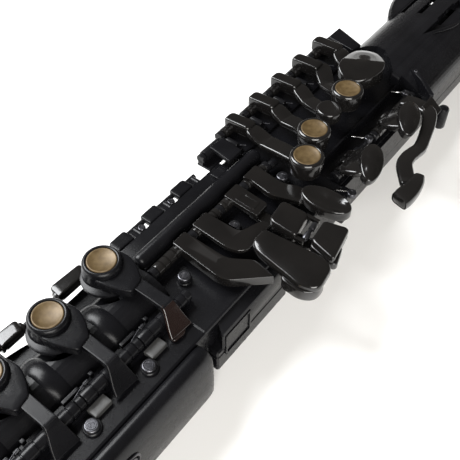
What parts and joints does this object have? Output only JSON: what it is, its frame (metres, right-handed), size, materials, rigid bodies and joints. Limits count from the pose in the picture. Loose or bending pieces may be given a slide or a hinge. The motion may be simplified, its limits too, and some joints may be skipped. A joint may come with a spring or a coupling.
{
  "type": "electronic saxophone",
  "caption": "Slim black electronic saxophone with saxophone keywork on sprung levers, tan touch pearls, flared bell, swivelling neck and mouthpiece, lying on its back.",
  "frame": {"origin": "centre of the overall box in X and Y, at the level of the flat back it lies on", "axes": "+Z out of the key side, +Y along the instrument from bell to mouthpiece, +X towards the left hand palm keys"},
  "size_m": [0.1094, 0.6994, 0.102],
  "materials": {
    "satin": "satin black",
    "gloss": "polished black",
    "pearl": "pearly bronze",
    "steel": "blackened",
    "brass": "lacquered",
    "cork": "cork",
    "ebonite": "polished hard rubber",
    "reed": "plain",
    "board": "board",
    "rubber": "plain"
  },
  "bodies": {
    "root": {"case_front": "satin", "case_back": "satin", "side_cover": "satin", "long_bar": "satin", "label_plate": "satin", "jack_socket": "gloss", "bell": "brass", "neck_receiver": "satin", "thumb_hook": "satin", "strap_ring": "steel", "thumb_rest": "satin", "octave_hinge": "steel", "speaker": "steel", "circuit_board": "board", "battery_holder": "rubber", "right_hand_hinge": "satin", "left_hand_hinge": "satin", "table_hinge": "satin", "palm_hinge": "satin", "side_hinge": "satin"},
    "battery_door": {"battery_door": "satin"},
    "neck_screw": {"neck_screw": "steel"},
    "neck": {"neck": "satin", "neck_cork": "cork"},
    "mouthpiece": {"mouthpiece": "ebonite", "reed": "reed", "ligature": "steel"},
    "ligature_screw": {"ligature_screw": "steel"},
    "octave_key": {"octave_key": "gloss"},
    "power_button": {"power_button": "rubber"},
    "volume_up_button": {"volume_up_button": "rubber"},
    "volume_down_button": {"volume_down_button": "rubber"},
    "table_roller": {"table_roller": "steel"},
    "f_key": {"f_key": "satin", "f_pearl": "pearl"},
    "e_key": {"e_key": "satin", "e_pearl": "pearl"},
    "d_key": {"d_key": "satin", "d_pearl": "pearl"},
    "e_flat_key": {"e_flat_key": "gloss"},
    "low_c_key": {"low_c_key": "gloss"},
    "b_key": {"b_key": "gloss", "b_pearl": "pearl"},
    "a_key": {"a_key": "gloss", "a_pearl": "pearl"},
    "g_key": {"g_key": "gloss", "g_pearl": "pearl"},
    "bis_key": {"bis_key": "gloss"},
    "front_f_key": {"front_f_key": "gloss"},
    "g_sharp_key": {"g_sharp_key": "gloss"},
    "c_sharp_key": {"c_sharp_key": "gloss"},
    "low_b_key": {"low_b_key": "gloss"},
    "low_b_flat_key": {"low_b_flat_key": "gloss"},
    "palm_d_key": {"palm_d_key": "gloss"},
    "palm_e_flat_key": {"palm_e_flat_key": "gloss"},
    "palm_f_key": {"palm_f_key": "gloss"},
    "side_b_flat_key": {"side_b_flat_key": "gloss"},
    "side_c_key": {"side_c_key": "gloss"},
    "side_e_key": {"side_e_key": "gloss"}
  },
  "joints": [
    {"name": "f_key_press", "type": "hinge", "parent": "root", "child": "f_key", "pos_m": [0.00089, -0.09771, 0.0446], "axis": [0, 1, 0], "range_deg": [-3.5, 0], "stiffness_Nm_per_rad": 0.05, "springref_deg": 17.19},
    {"name": "e_key_press", "type": "hinge", "parent": "root", "child": "e_key", "pos_m": [0.00089, -0.13101, 0.0446], "axis": [0, 1, 0], "range_deg": [-3.5, 0], "stiffness_Nm_per_rad": 0.05, "springref_deg": 17.19},
    {"name": "d_key_press", "type": "hinge", "parent": "root", "child": "d_key", "pos_m": [0.00089, -0.16341, 0.0446], "axis": [0, 1, 0], "range_deg": [-3.5, 0], "stiffness_Nm_per_rad": 0.05, "springref_deg": 17.19},
    {"name": "e_flat_key_press", "type": "hinge", "parent": "root", "child": "e_flat_key", "pos_m": [0.00089, -0.19541, 0.0446], "axis": [0, 1, 0], "range_deg": [-4, 0], "stiffness_Nm_per_rad": 0.05, "springref_deg": 17.19},
    {"name": "low_c_key_press", "type": "hinge", "parent": "root", "child": "low_c_key", "pos_m": [0.00089, -0.22001, 0.0446], "axis": [0, 1, 0], "range_deg": [-4, 0], "stiffness_Nm_per_rad": 0.05, "springref_deg": 17.19},
    {"name": "b_key_press", "type": "hinge", "parent": "root", "child": "b_key", "pos_m": [-0.05011, 0.07829, 0.0449], "axis": [0, 1, 0], "range_deg": [0, 3.5], "stiffness_Nm_per_rad": 0.05, "springref_deg": -17.19},
    {"name": "a_key_press", "type": "hinge", "parent": "root", "child": "a_key", "pos_m": [-0.05011, 0.03569, 0.0449], "axis": [0, 1, 0], "range_deg": [0, 3.5], "stiffness_Nm_per_rad": 0.05, "springref_deg": -17.19},
    {"name": "g_key_press", "type": "hinge", "parent": "root", "child": "g_key", "pos_m": [-0.05011, 0.01439, 0.0449], "axis": [0, 1, 0], "range_deg": [0, 3.5], "stiffness_Nm_per_rad": 0.05, "springref_deg": -17.19},
    {"name": "bis_key_press", "type": "hinge", "parent": "root", "child": "bis_key", "pos_m": [-0.05011, 0.05699, 0.0449], "axis": [0, 1, 0], "range_deg": [0, 3.5], "stiffness_Nm_per_rad": 0.05, "springref_deg": -17.19},
    {"name": "front_f_key_press", "type": "hinge", "parent": "root", "child": "front_f_key", "pos_m": [-0.05011, 0.09959, 0.0449], "axis": [0, 1, 0], "range_deg": [0, 3.5], "stiffness_Nm_per_rad": 0.05, "springref_deg": -17.19},
    {"name": "g_sharp_key_press", "type": "hinge", "parent": "root", "child": "g_sharp_key", "pos_m": [-0.01811, -0.00971, 0.0447], "axis": [0, 1, 0], "range_deg": [0, 4], "stiffness_Nm_per_rad": 0.05, "springref_deg": -17.19},
    {"name": "c_sharp_key_press", "type": "hinge", "parent": "root", "child": "c_sharp_key", "pos_m": [-0.01811, -0.04941, 0.0447], "axis": [0, 1, 0], "range_deg": [0, 4], "stiffness_Nm_per_rad": 0.05, "springref_deg": -17.19},
    {"name": "low_b_key_press", "type": "hinge", "parent": "root", "child": "low_b_key", "pos_m": [-0.01811, -0.02581, 0.0447], "axis": [0, 1, 0], "range_deg": [0, 4], "stiffness_Nm_per_rad": 0.05, "springref_deg": -17.19},
    {"name": "low_b_flat_key_press", "type": "hinge", "parent": "root", "child": "low_b_flat_key", "pos_m": [-0.01811, -0.06391, 0.0447], "axis": [0, 1, 0], "range_deg": [0, 4], "stiffness_Nm_per_rad": 0.05, "springref_deg": -17.19},
    {"name": "palm_d_key_press", "type": "hinge", "parent": "root", "child": "palm_d_key", "pos_m": [0.01189, 0.03179, 0.041], "axis": [0, 1, 0], "range_deg": [0, 7], "stiffness_Nm_per_rad": 0.04, "springref_deg": -17.19},
    {"name": "palm_e_flat_key_press", "type": "hinge", "parent": "root", "child": "palm_e_flat_key", "pos_m": [0.01189, 0.06939, 0.041], "axis": [0, 1, 0], "range_deg": [0, 5], "stiffness_Nm_per_rad": 0.04, "springref_deg": -17.19},
    {"name": "palm_f_key_press", "type": "hinge", "parent": "root", "child": "palm_f_key", "pos_m": [0.01189, 0.08999, 0.041], "axis": [0, 1, 0], "range_deg": [0, 5], "stiffness_Nm_per_rad": 0.04, "springref_deg": -17.19},
    {"name": "side_b_flat_key_press", "type": "hinge", "parent": "root", "child": "side_b_flat_key", "pos_m": [-0.04611, -0.12741, 0.039], "axis": [0, 1, 0], "range_deg": [-9, 0], "stiffness_Nm_per_rad": 0.012, "springref_deg": 17.19},
    {"name": "side_c_key_press", "type": "hinge", "parent": "root", "child": "side_c_key", "pos_m": [-0.04611, -0.11141, 0.039], "axis": [0, 1, 0], "range_deg": [-9, 0], "stiffness_Nm_per_rad": 0.012, "springref_deg": 17.19},
    {"name": "side_e_key_press", "type": "hinge", "parent": "root", "child": "side_e_key", "pos_m": [-0.04731, -0.00541, 0.0449], "axis": [0, 1, 0], "range_deg": [0, 4], "stiffness_Nm_per_rad": 0.03, "springref_deg": -17.19},
    {"name": "octave_key_press", "type": "hinge", "parent": "root", "child": "octave_key", "pos_m": [-0.01111, 0.07959, 0.0056], "axis": [1, 0, 0], "range_deg": [-4, 0], "stiffness_Nm_per_rad": 0.03, "springref_deg": 17.19},
    {"name": "power_button_press", "type": "slide", "parent": "root", "child": "power_button", "axis": [0, 0, 1], "range_m": [0, 0.001], "stiffness_N_per_m": 300, "springref_m": -0.002},
    {"name": "volume_up_button_press", "type": "slide", "parent": "root", "child": "volume_up_button", "axis": [0, 0, 1], "range_m": [0, 0.001], "stiffness_N_per_m": 300, "springref_m": -0.002},
    {"name": "volume_down_button_press", "type": "slide", "parent": "root", "child": "volume_down_button", "axis": [0, 0, 1], "range_m": [0, 0.001], "stiffness_N_per_m": 300, "springref_m": -0.002},
    {"name": "battery_door_lift", "type": "slide", "parent": "root", "child": "battery_door", "axis": [0, 0, -1], "range_m": [0, 0.015]},
    {"name": "neck_screw_turn", "type": "hinge", "parent": "root", "child": "neck_screw", "pos_m": [0.00039, 0.22909, 0.033], "axis": [1, 0, 0], "range_deg": [-180, 180]},
    {"name": "neck_swivel", "type": "hinge", "parent": "root", "child": "neck", "pos_m": [-0.01111, 0.22259, 0.033], "axis": [0, 1, 0], "range_deg": [-180, 180]},
    {"name": "mouthpiece_slide", "type": "slide", "parent": "neck", "child": "mouthpiece", "axis": [0, 0.766, 0.6428], "range_m": [-0.001, 0.01]},
    {"name": "ligature_screw_turn", "type": "hinge", "parent": "mouthpiece", "child": "ligature_screw", "pos_m": [-0.01111, 0.31531, 0.05639], "axis": [1, 0, 0], "range_deg": [-180, 180]},
    {"name": "table_roller_spin", "type": "hinge", "parent": "c_sharp_key", "child": "table_roller", "pos_m": [0.02599, -0.02541, 0.0514], "axis": [-0.0859, 0.9963, 0], "continuous": true}
  ]
}
